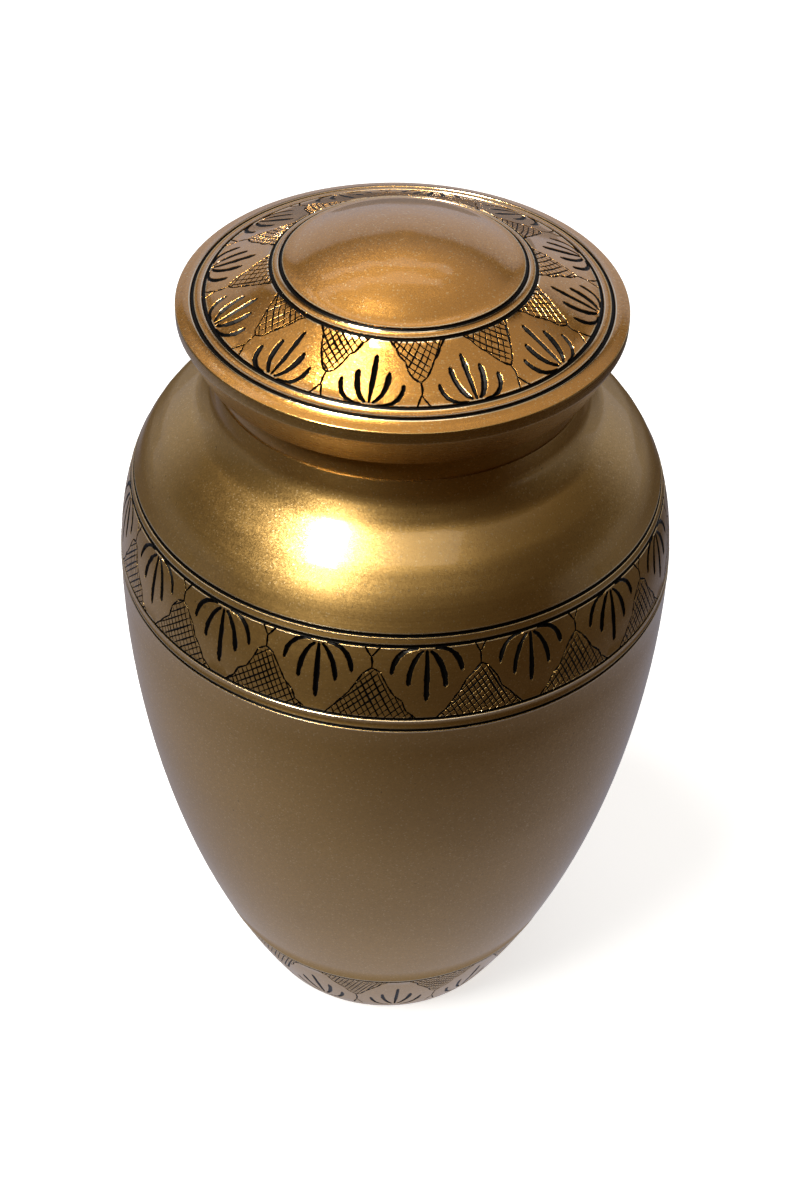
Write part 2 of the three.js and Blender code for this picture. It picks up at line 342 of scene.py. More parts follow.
class Graver:
    """One engraver's cut, a three-sided bar with sharp tips, modelled once and bent along each route"""

    def __init__(self, shares):
        self.shares = np.array(shares)
        self.faces = []

    def model(self):
        """Models the straight bar and notes its faces by corner: tip, three per section, tip"""
        select_none()
        bpy.ops.mesh.primitive_circle_add(vertices=3, radius=1, location=(0, 0, 0))
        bar = bpy.context.object
        bpy.ops.object.mode_set(mode="EDIT")
        bpy.ops.mesh.select_all(action="SELECT")
        sections = len(self.shares)
        for _ in range(sections):
            bpy.ops.mesh.extrude_region_move(TRANSFORM_OT_translate={"value": (0, 0, 1)})
        bpy.ops.mesh.merge(type="CENTER")
        bpy.ops.object.mode_set(mode="OBJECT")
        for vertex in bar.data.vertices:
            vertex.select = vertex.co.z < 0.5
        bpy.ops.object.mode_set(mode="EDIT")
        bpy.ops.mesh.extrude_region_move(TRANSFORM_OT_translate={"value": (0, 0, -1)})
        bpy.ops.mesh.merge(type="CENTER")
        bpy.ops.object.mode_set(mode="OBJECT")
        place = []
        for vertex in bar.data.vertices:
            level = round(vertex.co.z) + 1
            # The circle's corners lie a quarter of a third short of whole thirds of a turn
            side = round(math.atan2(vertex.co.y, vertex.co.x) / (2 * math.pi / 3) + 0.25) % 3
            place.append({0: 0, sections + 1: 3 * sections + 1}.get(level, 3 * level - 2 + side))
        self.faces = [[place[index] for index in polygon.vertices] for polygon in bar.data.polygons]
        bpy.data.objects.remove(bar)

    def corners(self, surface, route, widths, depth, lift):
        """Corners of one cut. route gives (angle, length) at the tips and at each section"""
        turn, along = route[:, 0], route[:, 1]
        radius = surface.place(along)[:, 0]
        ahead = np.stack([np.gradient(turn) * radius, np.gradient(along)], -1)
        ahead /= np.linalg.norm(ahead, axis=1, keepdims=True)
        inner = slice(1, -1)
        spread = widths * (1 + lift / depth) / 2
        side_turn = -ahead[inner, 1] * spread / radius[inner]
        side_along = ahead[inner, 0] * spread
        left = in_space(surface, turn[inner] + side_turn, along[inner] + side_along, lift)
        right = in_space(surface, turn[inner] - side_turn, along[inner] - side_along, lift)
        floor = in_space(surface, turn[inner], along[inner], -depth)
        tips = in_space(surface, turn[[0, -1]], along[[0, -1]], 0.02 * MM)
        middle = np.stack([left, floor, right], 1).reshape(-1, 3)
        return np.vstack([tips[:1], middle, tips[1:]])


def in_space(surface, turn, along, lift):
    """Points over a turned surface: turn from the front, length along the outline, height"""
    place = surface.lifted(along, np.broadcast_to(lift, np.shape(along)))
    return np.stack([place[..., 0] * np.sin(turn), -place[..., 0] * np.cos(turn), place[..., 1]], -1)


# Cuts of one group never cross each other, so each group is taken out in one go
CUT_GROUPS = 11
LONG_CUT = Graver([0.06, 0.22, 0.4, 0.58, 0.74, 0.87, 0.95])
SHORT_CUT = Graver([0.1, 0.5, 0.9])


def model_gravers():
    """Models the long and the short cut"""
    for graver in (LONG_CUT, SHORT_CUT):
        graver.model()


# A leaf's veins as shares: sideways of the half repeat, then from the root line to the far line
VEINS = {
    "centre": [(0.0, 0.03), (0.01, 0.25), (0.0, 0.5), (0.0, 0.77)],
    "inner": [(0.05, 0.05), (0.2, 0.13), (0.33, 0.33), (0.34, 0.55)],
    "outer": [(0.13, 0.03), (0.4, 0.03), (0.59, 0.15), (0.64, 0.37)],
}
# One side of a hatched triangle as shares, from its point to its base
TRIANGLE_SIDE = [(0.0, 0.0), (0.16, 0.1), (0.3, 0.3), (0.42, 0.5), (0.58, 0.64), (0.68, 0.82), (0.9, 1.0)]
# Width along a vein as shares of its widest part
VEIN_SWELL = ([0, 0.1, 0.4, 0.8, 0.93, 1], [0.5, 0.6, 0.9, 1, 0.85, 0.5])
EDGE_SWELL = ([0, 0.3, 0.7, 1], [0.6, 1, 1, 0.5])


class Band:
    """An engraved band on a turned surface and the cuts that it is made of"""

    def __init__(self, surface, root, far, repeats, turn, seed):
        self.surface = surface
        self.root, self.far = root, far
        self.repeats, self.turn = repeats, math.radians(turn)
        self.half = math.pi / repeats
        self.random = random.Random(seed)
        self.groups = [[] for _ in range(CUT_GROUPS)]

    def place(self, centre, side, share):
        """Turn and length of a place given in shares of the repeat"""
        return centre + side * self.half, self.root + (self.far - self.root) * share

    def jitter(self, amount):
        """A small difference of the engraver's hand"""
        return self.random.uniform(-amount, amount)

    def cut(self, group, graver, points, width, depth, swell, wander):
        """Adds one cut through (turn, length) points to a group that doesn't overlap itself"""
        points = np.array(points)
        shares = np.linspace(0, 1, len(points))
        at = np.r_[0, graver.shares, 1]
        route = smooth_route(points, shares, at)
        radius = float(self.surface.place(points[:, 1].mean())[0])
        for row in range(1, len(at) - 1):
            route[row, 0] += self.jitter(wander) / radius
            route[row, 1] += self.jitter(wander)
        widths = width * np.interp(graver.shares, *swell)
        widths = widths * np.array([1 + self.jitter(0.14) for _ in graver.shares])
        corners = graver.corners(self.surface, route, widths, depth, 0.25 * MM)
        self.groups[group].append((graver, corners))

    def leaf(self, centre, sizes, scale):
        """The five veins of one leaf"""
        for side, name, group in (
            (1, "centre", 0),
            (-1, "inner", 1),
            (1, "inner", 1),
            (-1, "outer", 2),
            (1, "outer", 2),
        ):
            reach = 1 + self.jitter(0.06)
            lean = self.jitter(0.02)
            points = [
                self.place(centre, side * (sideways + lean * share), share * reach)
                for sideways, share in VEINS[name]
            ]
            width = sizes.vein_width * scale * (0.9 if name == "outer" else 1) * (1 + self.jitter(0.1))
            self.cut(group, LONG_CUT, points, width, sizes.vein_depth, VEIN_SWELL, 0.05 * MM)

    def stem(self, edge, apex, fork, sizes, scale):
        """The forked stem above the point of a triangle"""
        width = sizes.edge_width * scale
        bend = self.jitter(0.03)
        top = [self.place(edge, bend, fork), self.place(edge, -bend / 2, (fork + apex) / 2)]
        self.cut(0, SHORT_CUT, [*top, self.place(edge, 0, apex + 0.03)], width, sizes.hatch_depth * 1.4,
                 EDGE_SWELL, 0.04 * MM)
        for side, group in ((-1, 1), (1, 2)):
            spread = side * (0.13 + self.jitter(0.03))
            arm = [self.place(edge, spread, 0.0), self.place(edge, bend, fork + 0.02)]
            self.cut(group, SHORT_CUT, arm, width, sizes.hatch_depth * 1.4, EDGE_SWELL, 0.04 * MM)

    def triangle(self, edge, apex, base_side, sizes, scale, repeat):
        """A hatched triangle: two stepped sides and two families of crossing lines"""
        sides = {}
        for side in (-1, 1):
            route = []
            for sideways, share in TRIANGLE_SIDE:
                ease = 0.03 if 0 < share < 1 else 0
                across = side * (sideways * base_side / TRIANGLE_SIDE[-1][0] + self.jitter(ease))
                route.append((across, apex + (1 - apex) * (share + self.jitter(ease))))
            sides[side] = route
            for index, (first, second) in enumerate(zip(route, route[1:])):
                over = 0.12
                reach = [second[axis] + over * (second[axis] - first[axis]) for axis in (0, 1)]
                if index == len(route) - 2:
                    reach = second
                group = (3 if side < 0 else 5) + index % 2
                points = [self.place(edge, *first), self.place(edge, *reach)]
                width = sizes.edge_width * scale * (1 + self.jitter(0.2))
                self.cut(group, SHORT_CUT, points, width, sizes.hatch_depth * 1.3, EDGE_SWELL, 0.04 * MM)
        self.hatch(edge, sides, sizes, scale, 7 + repeat % 2 * 2)

    def hatch(self, edge, sides, sizes, scale, first_group):
        """Two families of lines across the triangle between its sides"""
        middle = float(self.surface.place((self.root + 3 * self.far) / 4)[0])
        span = abs(self.far - self.root)
        outline = [(side * self.half * middle, share * span)
                   for side, share in sides[-1][::-1] + sides[1][1:]]
        outline = np.array(outline)
        centre = outline.mean(0)
        for family, middle_lean in enumerate((24, -46)):
            lean = middle_lean + self.jitter(4)
            direction = np.array([math.sin(math.radians(lean)), math.cos(math.radians(lean))])
            across = np.array([direction[1], -direction[0]])
            offset = -span + self.jitter(sizes.hatch_pitch / 2)
            while offset < span:
                offset += sizes.hatch_pitch * scale * (1 + self.jitter(0.14))
                for start, end in chords(outline, centre + across * offset, direction):
                    if end - start < 0.9 * MM:
                        continue
                    first = start - self.random.uniform(0, 0.25) * MM
                    last = end + self.random.uniform(-0.3, 0.2) * MM
                    points = [centre + across * offset + direction * at for at in (first, last)]
                    self.hatch_line(first_group + family, edge, points, middle, span, sizes, scale)

    def hatch_line(self, group, edge, points, middle, span, sizes, scale):
        """One hatching line between two places in the flattened triangle"""
        toward = 1 if self.far > self.root else -1
        route = [(edge + x / middle, self.root + toward * min(y, span)) for x, y in points]
        width = sizes.hatch_width * scale * (1 + self.jitter(0.25))
        self.cut(group, SHORT_CUT, route, width, sizes.hatch_depth, EDGE_SWELL, 0.03 * MM)

    def engrave(self, sizes, apex, fork, base_side, scale=1.0):
        """All the cuts of the band"""
        for repeat in range(self.repeats):
            centre = self.turn + 2 * self.half * repeat
            self.leaf(centre, sizes, scale)
            self.stem(centre + self.half, apex, fork, sizes, scale)
            self.triangle(centre + self.half, apex, base_side, sizes, scale, repeat)
        return self.groups


def smooth_route(points, shares, at):
    """Points of a smooth curve through a route, at the given shares of its length"""
    if len(points) < 4:
        return np.stack([np.interp(at, shares, points[:, axis]) for axis in (0, 1)], -1)
    fine = np.linspace(0, 1, 60)
    curve = bezier(points[0], *(points[1:-1] * 1.5 - (points[:-2] + points[2:]) * 0.25), points[-1], count=60)
    return np.stack([np.interp(at, fine, curve[:, axis]) for axis in (0, 1)], -1)


def chords(outline, place, direction):
    """Stretches of a line that lie inside a closed outline"""
    hits = []
    for first, second in zip(outline, np.roll(outline, -1, axis=0)):
        edge = second - first
        cross = direction[0] * edge[1] - direction[1] * edge[0]
        if abs(cross) < 1e-12:
            continue
        gap = first - place
        along = (gap[0] * edge[1] - gap[1] * edge[0]) / cross
        share = (gap[0] * direction[1] - gap[1] * direction[0]) / cross
        if 0 <= share < 1:
            hits.append(along)
    hits.sort()
    return list(zip(hits[::2], hits[1::2]))


def cutter_object(name, cuts):
    """One object that holds a group of cuts, each a closed bar"""
    corners, faces = [], []
    for graver, points in cuts:
        base = len(corners)
        corners.extend(points.tolist())
        faces.extend([tuple(base + index for index in face) for face in graver.faces])
    mesh = bpy.data.meshes.new(name)
    mesh.from_pydata(corners, [], faces)
    piece = bpy.data.objects.new(name, mesh)
    bpy.context.scene.collection.objects.link(piece)
    activate(piece)
    bpy.ops.object.mode_set(mode="EDIT")
    bpy.ops.mesh.select_all(action="SELECT")
    bpy.ops.mesh.quads_convert_to_tris()
    bpy.ops.mesh.normals_make_consistent(inside=False)
    bpy.ops.object.mode_set(mode="OBJECT")
    return piece


def engrave(piece, bands):
    """Cuts every group of the bands out of a piece"""
    for group in range(CUT_GROUPS):
        cuts = [cut for band in bands for cut in band[group]]
        if not cuts:
            continue
        cutter = cutter_object("cuts", cuts)
        activate(piece)
        modifier = piece.modifiers.new("Engraving", "BOOLEAN")
        modifier.operation = "DIFFERENCE"
        modifier.solver = "MANIFOLD"
        modifier.object = cutter
        bpy.ops.object.modifier_apply(modifier=modifier.name)
        bpy.data.objects.remove(cutter)
    drop_chips(piece)


def drop_chips(piece):
    """Removes the loose chips that crossing cuts leave"""
    activate(piece)
    vertices = piece.data.vertices
    lowest = min(range(len(vertices)), key=lambda index: vertices[index].co.z)
    bpy.ops.object.mode_set(mode="EDIT")
    bpy.ops.mesh.select_mode(type="VERT")
    bpy.ops.mesh.select_all(action="DESELECT")
    bpy.ops.object.mode_set(mode="OBJECT")
    vertices[lowest].select = True
    bpy.ops.object.mode_set(mode="EDIT")
    bpy.ops.mesh.select_linked()
    bpy.ops.mesh.select_all(action="INVERT")
    bpy.ops.mesh.delete(type="VERT")
    bpy.ops.object.mode_set(mode="OBJECT")


def depth_under(steps, profile, at, level):
    """How far a level lies under a profile, square to it"""
    slope = np.gradient(profile, steps + np.arange(len(steps)) * 1e-12)
    lean = np.cos(np.arctan(np.interp(at, steps, slope)))
    return (np.interp(at, steps, profile) - level) * lean


def dress_normals(piece, outline, sunk_test):
    """Gives the turned metal its true round shading and stores how deep each corner is cut"""
    mesh = piece.data
    dense = Outline(outline)
    pitch = 0.12 * MM
    close = 0.07 * MM
    alike = 0.85
    along = np.arange(pitch / 2, dense.lengths[-1], pitch)
    places = dense.place(along)
    normals = dense.normal(along)
    tree = KDTree(len(places))
    for index, place in enumerate(places):
        tree.insert((place[0], place[1], 0), index)
    tree.balance()

    count = len(mesh.vertices)
    corners = np.empty(count * 3)
    mesh.vertices.foreach_get("co", corners)
    corners = corners.reshape(-1, 3)
    radius = np.hypot(corners[:, 0], corners[:, 1])
    sunk = sunk_test(radius, corners[:, 2])
    attribute = mesh.attributes.new("sunk", "FLOAT", "POINT")
    attribute.data.foreach_set("value", sunk.astype(np.float32))

    found = np.empty(count, int)
    away = np.empty(count)
    for index in range(count):
        _, nearest, distance = tree.find((radius[index], corners[index, 2], 0))
        found[index] = nearest
        away[index] = distance

    loops = np.empty(len(mesh.loops), int)
    mesh.loops.foreach_get("vertex_index", loops)
    starts = np.empty(len(mesh.polygons), int)
    totals = np.empty(len(mesh.polygons), int)
    flat = np.empty(len(mesh.polygons) * 3)
    mesh.polygons.foreach_get("loop_start", starts)
    mesh.polygons.foreach_get("loop_total", totals)
    mesh.polygons.foreach_get("normal", flat)
    flat = np.repeat(flat.reshape(-1, 3), totals, axis=0)
    polygon = np.repeat(np.arange(len(totals)), totals)

    spot = corners[loops]
    turn = np.arctan2(spot[:, 1], spot[:, 0])
    round_normal = normals[found[loops]]
    true = np.stack(
        [round_normal[:, 0] * np.cos(turn), round_normal[:, 0] * np.sin(turn), round_normal[:, 1]], -1
    )
    on_metal = away[loops] < close
    all_on_metal = np.ones(len(totals), bool)
    np.logical_and.at(all_on_metal, polygon, on_metal)
    aligned = (true * flat).sum(1) > alike
    use = all_on_metal[polygon] & aligned
    chosen = np.where(use[:, None], true, flat)
    smooth = np.ones(len(totals), bool)
    mesh.polygons.foreach_set("use_smooth", smooth)
    mesh.normals_split_custom_set(chosen.tolist())
    mesh.update()


class Wire:
    """A shader socket that takes part in plain arithmetic"""

    def __init__(self, tree, socket):
        self.tree = tree
        self.socket = socket

    def outputs(self):
        """Every output of the node behind this wire"""
        return [Wire(self.tree, socket) for socket in self.socket.node.outputs]

    def math(self, operation, *values):
        return node(self.tree, "ShaderNodeMath", {"operation": operation}, values)

    def __add__(self, other):
        return self.math("ADD", self, other)

    def __radd__(self, other):
        return self.math("ADD", other, self)

    def __sub__(self, other):
        return self.math("SUBTRACT", self, other)

    def __rsub__(self, other):
        return self.math("SUBTRACT", other, self)

    def __mul__(self, other):
        return self.math("MULTIPLY", self, other)

    def __rmul__(self, other):
        return self.math("MULTIPLY", other, self)

    def __pow__(self, other):
        return self.math("POWER", self, other)

    def at_least(self, lowest):
        """The larger of the two"""
        return self.math("MAXIMUM", self, lowest)

    def limit(self, low, high):
        """0 below low, 1 above high, smooth between"""
        return node(
            self.tree,
            "ShaderNodeMapRange",
            {"interpolation_type": "SMOOTHSTEP"},
            {"Value": self, "From Min": low, "From Max": high},
        )


def node(tree, kind, settings, values, output=0):
    """Adds a node, sets it up, feeds its sockets and gives one output, if it has any, as a wire"""
    made = tree.nodes.new(kind)
    for name, value in settings.items():
        setattr(made, name, value)
    pairs = values.items() if isinstance(values, dict) else enumerate(values)
    for key, value in pairs:
        if isinstance(value, Wire):
            tree.links.new(value.socket, made.inputs[key])
        else:
            made.inputs[key].default_value = value
    return Wire(tree, made.outputs[output]) if made.outputs else None


def empty_tree(block):
    """The node tree of a material or of the world, emptied"""
    block.use_nodes = True
    block.node_tree.nodes.clear()
    return block.node_tree


def object_axes(tree):
    """The place on the piece, its three parts and the radius there"""
    place = node(tree, "ShaderNodeTexCoord", {}, {}, output="Object")
    across, depth, height = node(tree, "ShaderNodeSeparateXYZ", {}, [place]).outputs()
    return place, across, depth, height, (across * across + depth * depth) ** 0.5


def blend_colour(tree, share, first, second):
    """A colour between two others"""
    sides = [(*value, 1) if isinstance(value, (tuple, list)) else value for value in (first, second)]
    return node(
        tree,
        "ShaderNodeMix",
        {"data_type": "RGBA"},
        {0: share, 6: sides[0], 7: sides[1]},
        output=2,
    )


def vector(tree, operation, *values, output=0):
    """Vector arithmetic"""
    return node(tree, "ShaderNodeVectorMath", {"operation": operation}, values, output)


def noise(tree, place, scale, detail=2.0, roughness=0.5):
    """Soft three-dimensional noise from 0 to 1"""
    return node(
        tree,
        "ShaderNodeTexNoise",
        {},
        {"Vector": place, "Scale": scale, "Detail": detail, "Roughness": roughness},
    )


def brass_material(name, metal, enamel, brushed, sparkle, rough_base, coat, streak):
    """Satin lacquered brass with a metallic grain, turning marks and black in its cuts"""
    material = bpy.data.materials.new(name)
    tree = empty_tree(material)
    place, across, depth, height, radius = object_axes(tree)
    sunk = node(tree, "ShaderNodeAttribute", {"attribute_name": "sunk"}, {}, output=2)

    # Turning marks run round the piece, so they follow height and radius and hardly change sideways
    ring = height * 0.8 + radius * 0.6
    lathe = node(tree, "ShaderNodeCombineXYZ", {}, (across * 22, depth * 22, ring * 3600))
    marks = noise(tree, lathe, scale=1.0, detail=3.0, roughness=0.6)

    # Metallic grain: small cells that each lean their own way, a few of them bright
    cells = node(tree, "ShaderNodeTexVoronoi", {}, {"Vector": place, "Scale": 2900}, output="Color")
    lean = vector(tree, "SUBTRACT", cells, (0.5, 0.5, 0.5))
    pick = node(tree, "ShaderNodeSeparateColor", {}, [cells])
    bright = pick.limit(0.95, 0.98)

    cloud = noise(tree, place, scale=28, detail=3.0)
    patch = noise(tree, place, scale=420)
    nicks = noise(tree, place, scale=1500)

    # Black fill keeps to the cuts and is worn off in places along their edges
    edge = (0.04 * MM + (nicks - 0.5) * (0.12 * MM)).at_least(0.01 * MM)
    black = node(
        tree,
        "ShaderNodeMapRange",
        {"interpolation_type": "SMOOTHSTEP"},
        {"Value": sunk, "From Min": edge, "From Max": edge + 0.04 * MM},
    )
    burr = (sunk * -1).limit(0.008 * MM, 0.04 * MM)
    spotted = noise(tree, place, scale=60, detail=0.0).limit(0.55, 0.65)
    specks = noise(tree, place, scale=900, detail=0.0).limit(0.82, 0.84) * spotted

    tint = blend_colour(tree, cloud.limit(0.3, 0.7), tuple(v * 0.93 for v in metal), metal)
    tint = blend_colour(tree, (1 - pick) * 0.26, tint, tuple(v * 0.35 for v in metal))
    tint = blend_colour(tree, bright * sparkle * 0.6, tint, (1.0, 0.86, 0.55))
    tint = blend_colour(tree, burr * 0.8, tint, (0.95, 0.82, 0.58))
    tint = blend_colour(tree, specks * 0.35, tint, (0.03, 0.02, 0.01))
    base = blend_colour(tree, black, tint, enamel)

    rough = rough_base + marks * 0.08 + (patch - 0.5) * 0.03 - burr * 0.1
    rough = rough + (0.4 - rough) * black

    normal = node(tree, "ShaderNodeNewGeometry", {}, {}, output=1)
    flake = node(tree, "ShaderNodeVectorMath", {"operation": "SCALE"}, {0: lean, "Scale": 0.06})
    leaned = vector(tree, "NORMALIZE", vector(tree, "ADD", normal, flake))
    relief = marks * brushed + patch * 0.12 + black * nicks * 2.0
    bump = node(
        tree,
        "ShaderNodeBump",
        {},
        {"Strength": 1.0, "Distance": 0.012 * MM, "Height": relief, "Normal": leaned},
    )

    shader = node(
        tree,
        "ShaderNodeBsdfPrincipled",
        {},
        {
            "Base Color": base,
            "Coat Weight": coat - black * coat,
            "Roughness": rough,
            "Normal": bump,
            "Metallic": 1.0,
            "Anisotropic": streak,
            "Anisotropic Rotation": 0.25,
            "Coat Roughness": 0.07,
        },
    )
    node(tree, "ShaderNodeOutputMaterial", {}, [shader])
    return material


def raw_brass_material(name, metal):
    """Dull unlacquered brass with coarse turning marks, for the inside and the underside"""
    material = bpy.data.materials.new(name)
    tree = empty_tree(material)
    place, across, depth, height, radius = object_axes(tree)
    lathe = node(tree, "ShaderNodeCombineXYZ", {}, (across * 12, depth * 12, (height + radius) * 1500))
    marks = noise(tree, lathe, scale=1.0, detail=3.0, roughness=0.6)
    stain = noise(tree, place, scale=35, detail=5.0, roughness=0.6)
    base = blend_colour(tree, stain.limit(0.35, 0.7), metal, tuple(v * 0.6 for v in metal))
    bump = node(tree, "ShaderNodeBump", {}, {"Strength": 1.0, "Distance": 0.04 * MM, "Height": marks})
    shader = node(
        tree,
        "ShaderNodeBsdfPrincipled",
        {},
        {"Base Color": base, "Roughness": 0.38 + stain * 0.25, "Normal": bump, "Metallic": 1.0},
    )
    node(tree, "ShaderNodeOutputMaterial", {}, [shader])
    return material


def finish_piece(piece, node_name, materials, pick):
    """Puts on the finish that pick names for each face and stands the piece in for its CAD node"""
    piece.data.materials.clear()
    for material in materials:
        piece.data.materials.append(material)
    for polygon in piece.data.polygons:
        polygon.material_index = pick(polygon.center, polygon.normal)
    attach(piece, "root")
    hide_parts(node_name)


class URN_OT_vessel(bpy.types.Operator):
    """Turns the vessel, cuts its shoulder and foot bands and finishes the metal"""

    bl_idname = "urn.vessel"
    bl_label = "Vessel"

    def execute(self, context):
        sizes = context.scene.urn_vessel
        cuts = context.scene.urn_engraving
        finish = context.scene.urn_finish
        surface = body_surface(sizes)
        leaf_low = sizes.belly_height + cuts.shoulder_band_start + cuts.lower_pitch
        leaf_high = leaf_low + cuts.shoulder_band
        heights = [
            cuts.foot_band_top,
            leaf_low - cuts.lower_pitch,
            leaf_low,
            leaf_high,
            leaf_high + cuts.upper_pitch,
        ]
        lines = [surface.at_height(height) for height in heights]
        outer_end = surface.lengths[-1]
        pitches = [3.6 * MM, 8 * MM, 3 * MM, 3.7 * MM, 3 * MM, 3.5 * MM]
        start = 0.4 * MM
        outer = with_lines(surface, lines, start, outer_end - 0.6 * MM, pitches, cuts)
        ring_height = surface.points[-1, 1]
        neck_radius = sizes.neck_radius - sizes.neck_step
        bore = neck_radius - sizes.wall
        mouth = body_high.z
        floor = sizes.foot_recess + sizes.wall
        neck = [
            (sizes.neck_radius, ring_height - 0.4 * MM),
            (sizes.neck_radius - 0.15 * MM, ring_height),
            (neck_radius, ring_height + 0.1 * MM),
            (neck_radius, mouth - EASED),
            (neck_radius - EASED, mouth),
            (bore + EASED, mouth),
            (bore, mouth - EASED),
            (bore, ring_height),
        ]
        inner_low = surface.at_height(floor)
        inner_along = np.linspace(outer_end - 3 * MM, inner_low + 1.5 * MM, 22)
        inner = surface.lifted(inner_along, np.full(len(inner_along), -sizes.wall))
        floor_bend = 1.2 * MM
        floor_radius = inner[-1][0] - floor_bend
        ring_inner = sizes.foot_radius - sizes.foot_ring
        under = [
            (0, sizes.foot_recess),
            (ring_inner - EASED, sizes.foot_recess),
            (ring_inner, sizes.foot_recess - EASED),
            (ring_inner, EASED),
            (ring_inner + EASED, 0),
            (sizes.foot_radius - EASED, 0),
        ]
        outline = np.vstack([under, outer, neck, inner, [(floor_radius, floor), (0, floor)]])
        piece = turn_outline("brass_vessel", outline)
        model_gravers()
        shoulder = Band(surface, lines[3], lines[2], 17, 6.84, cuts.seed)
        foot = Band(surface, surface.at_height(cuts.foot_band_start), lines[0], 12, 5.5, cuts.seed + 1)
        engrave(
            piece,
            [
                shoulder.engrave(cuts, apex=0.28, fork=0.12, base_side=0.84),
                foot.engrave(cuts, apex=0.42, fork=0.16, base_side=0.8, scale=0.85),
            ],
        )
        walls = surface.points

        def sunk(radius, height):
            depth = depth_under(walls[:, 1], walls[:, 0], height, radius)
            return np.where((depth < CUT_REACH) & (height < ring_height - MM) & (height > MM), depth, 0)

        dress_normals(piece, outline, sunk)
        brass = brass_material(
            "body_brass", tuple(finish.body_brass), tuple(finish.enamel),
            brushed=1.0, sparkle=0.4, rough_base=0.33, coat=0.5, streak=0.6,
        )
        raw = raw_brass_material("raw_brass", tuple(finish.raw_brass))

        def pick(centre, normal):
            radius = math.hypot(centre.x, centre.y)
            edge = np.interp(centre.z, walls[:, 1], walls[:, 0])
            outward = (normal.x * centre.x + normal.y * centre.y) / max(radius, MM)
            inside = radius < edge - SKIN and outward < 0.2
            return int(inside or centre.z < 1.6 * MM and radius < ring_inner)

        finish_piece(piece, "urn_body", [brass, raw], pick)
        return {"FINISHED"}


class URN_OT_lid(bpy.types.Operator):
    """Turns the lid, cuts its leaf band and finishes the metal"""

    bl_idname = "urn.lid"
    bl_label = "Lid"

    def execute(self, context):
        sizes = context.scene.urn_lid
        cuts = context.scene.urn_engraving
        finish = context.scene.urn_finish
        surface = lid_surface(sizes, context.scene.urn_vessel)
        rim_radius, rim_top = surface.points[0]
        leaf_radius = rim_radius - sizes.flange_width
        leaf_inner = leaf_radius - sizes.leaf_width
        radii = [leaf_radius + cuts.rim_pitch, leaf_radius, leaf_inner, leaf_inner - sizes.dome_margin]
        lines = [surface.at_radius(radius) for radius in radii]
        pitches = [2 * MM, 2 * MM, 2.6 * MM, 2 * MM, 3 * MM]
        rim_bend = 0.35 * MM
        smallest_ring = 0.3 * MM
        top = with_lines(surface, lines, rim_bend, surface.lengths[-1], pitches, cuts)
        top = np.vstack([top[top[:, 0] > smallest_ring], surface.points[-1:]])
        rim_low = rim_top - sizes.rim_height
        lip_height = rim_low - sizes.side_height
        lip_outer = rim_radius - sizes.side_flare
        lip_inner = lip_outer - sizes.lip_width
        seat = lip_height + sizes.lip_drop
        ledge = seat + sizes.wall
        collar_inner = sizes.collar_radius - sizes.collar_wall
        collar_low = lid_low.z
        side_at = lip_outer + sizes.side_flare * (ledge - lip_height) / sizes.side_height
        rim_inner = rim_radius - sizes.wall
        under_along = np.linspace(surface.lengths[-1], surface.at_radius(rim_inner), 16)
        under = surface.lifted(under_along[1:], np.full(15, -sizes.wall))
        bend = 0.25 * MM
        start = surface.points[-1] - np.array([0, sizes.wall])
        side_rise = np.array([sizes.side_flare, sizes.side_height])
        side_rise /= np.linalg.norm(side_rise)
        lip_end = np.array([lip_outer, lip_height]) + side_rise * bend * 1.5
        side_end = np.array([rim_radius, rim_low]) - side_rise * bend
        outline = np.vstack(
            [
                [start],
                under,
                [
                    (rim_inner, rim_low),
                    (side_at - sizes.wall, ledge),
                    (collar_inner, ledge),
                    (collar_inner, collar_low + bend),
                    (collar_inner + bend, collar_low),
                    (sizes.collar_radius - bend, collar_low),
                    (sizes.collar_radius, collar_low + bend),
                    (sizes.collar_radius, seat),
                    (lip_inner, seat),
                    (lip_inner, lip_height + bend),
                    (lip_inner + bend, lip_height),
                    (lip_outer - bend, lip_height),
                ],
                bezier((lip_outer - bend, lip_height), (lip_outer, lip_height), lip_end, count=5)[1:],
                bezier(side_end, (rim_radius, rim_low), (rim_radius, rim_low + bend), count=5),
                bezier(
                    (rim_radius, rim_top - rim_bend),
                    (rim_radius, rim_top),
                    surface.place(np.array(rim_bend)),
                    count=6,
                )[:-1],
                top,
            ]
        )
        piece = turn_outline("brass_lid", outline)
        model_gravers()
        band = Band(surface, lines[1], lines[2], 12, -8.5, cuts.seed + 2)
        engrave(piece, [band.engrave(cuts, apex=0.37, fork=0.17, base_side=0.76)])
        walls = surface.points[::-1]

        def sunk(radius, height):
            depth = depth_under(walls[:, 0], walls[:, 1], radius, height)
            return np.where((depth < CUT_REACH) & (radius < rim_radius - MM), depth, 0)

        dress_normals(piece, outline, sunk)
        brass = brass_material(
            "lid_brass", tuple(finish.lid_brass), tuple(finish.enamel),
            brushed=0.5, sparkle=0.6, rough_base=0.22, coat=1.0, streak=0.3,
        )
        raw = raw_brass_material("raw_brass_lid", tuple(finish.raw_brass))
        side = brass_material(
            "lid_side_brass", tuple(finish.body_brass), tuple(finish.enamel),
            brushed=1.6, sparkle=0.5, rough_base=0.24, coat=0.5, streak=0.75,
        )

        def pick(centre, normal):
            radius = math.hypot(centre.x, centre.y)
            outward = (normal.x * centre.x + normal.y * centre.y) / max(radius, MM)
            top_height = np.interp(radius, walls[:, 0], walls[:, 1])
            if centre.z > top_height - SKIN and radius < rim_radius - bend:
                return 0
            return 2 if radius > lip_outer - MM and outward > 0.3 else 1

        finish_piece(piece, "lid", [brass, raw, side], pick)
        return {"FINISHED"}


